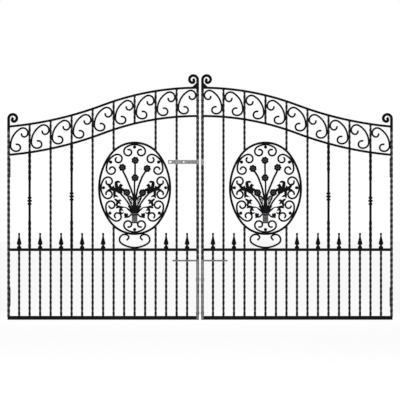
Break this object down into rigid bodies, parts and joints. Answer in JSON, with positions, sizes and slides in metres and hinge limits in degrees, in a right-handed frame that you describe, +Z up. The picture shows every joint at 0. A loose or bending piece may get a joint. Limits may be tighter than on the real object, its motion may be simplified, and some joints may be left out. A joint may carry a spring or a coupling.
{
  "type": "pair of wrought-iron swan-neck driveway gate leaves on hook hinges",
  "caption": "Pair of black wrought-iron swan-neck estate gate leaves with twisted bars, scrolls, flower ovals, drop bolts and a sliding latch.",
  "frame": {"origin": "centre of the back face of the left leaf's lower hook plate", "axes": "+X along the gate from the left leaf to the right leaf, +Y out of the back face of the hook plates towards the post, +Z up"},
  "size_m": [2.866, 0.0918, 1.8243],
  "materials": {
    "black_iron": "satin black paint on forged bar",
    "cast_ornament": "satin black paint on castings",
    "zinc_fittings": "dull grey zinc plating"
  },
  "bodies": {
    "hinge_hooks": {"left_hinge_hooks": "black_iron", "right_hinge_hooks": "black_iron"},
    "left_leaf": {"left_hinge_stile": "black_iron", "left_meeting_stile": "black_iron", "left_bottom_rail": "black_iron", "left_middle_rail": "black_iron", "left_curved_rails": "black_iron", "left_upright_bars": "black_iron", "left_frieze_scrolls": "black_iron", "left_collared_bars": "black_iron", "left_dog_bars": "black_iron", "left_spear_points": "cast_ornament", "left_oval_ring": "black_iron", "left_oval_scrolls": "black_iron", "left_scroll_balls": "cast_ornament", "left_foot_scroll": "black_iron", "left_flowers": "cast_ornament", "left_flower_stems": "cast_ornament", "left_leaf_sprays": "cast_ornament", "left_stem_sheath": "cast_ornament", "left_hinge_eyes": "black_iron", "left_bolt_guides": "zinc_fittings", "latch_guides": "zinc_fittings"},
    "right_leaf": {"right_hinge_stile": "black_iron", "right_meeting_stile": "black_iron", "right_bottom_rail": "black_iron", "right_middle_rail": "black_iron", "right_curved_rails": "black_iron", "right_upright_bars": "black_iron", "right_frieze_scrolls": "black_iron", "right_collared_bars": "black_iron", "right_dog_bars": "black_iron", "right_spear_points": "cast_ornament", "right_oval_ring": "black_iron", "right_oval_scrolls": "black_iron", "right_scroll_balls": "cast_ornament", "right_foot_scroll": "black_iron", "right_flowers": "cast_ornament", "right_flower_stems": "cast_ornament", "right_leaf_sprays": "cast_ornament", "right_stem_sheath": "cast_ornament", "right_hinge_eyes": "black_iron", "right_bolt_guides": "zinc_fittings", "latch_keep": "zinc_fittings"},
    "left_bolt": {"left_drop_bolt": "zinc_fittings"},
    "right_bolt": {"right_drop_bolt": "zinc_fittings"},
    "latch": {"latch_bar": "zinc_fittings"}
  },
  "joints": [
    {"name": "left_leaf_swing", "type": "hinge", "parent": "hinge_hooks", "child": "left_leaf", "pos_m": [0, -0.03, 0], "axis": [0, 0, -1], "range_deg": [0, 90]},
    {"name": "right_leaf_swing", "type": "hinge", "parent": "hinge_hooks", "child": "right_leaf", "pos_m": [2.844, -0.03, 0], "axis": [0, 0, 1], "range_deg": [0, 90]},
    {"name": "left_bolt_drop", "type": "slide", "parent": "left_leaf", "child": "left_bolt", "axis": [0, 0, -1], "range_m": [0, 0.12]},
    {"name": "right_bolt_drop", "type": "slide", "parent": "right_leaf", "child": "right_bolt", "axis": [0, 0, -1], "range_m": [0, 0.12]},
    {"name": "latch_slide", "type": "slide", "parent": "left_leaf", "child": "latch", "axis": [1, 0, 0], "range_m": [0, 0.05]}
  ]
}
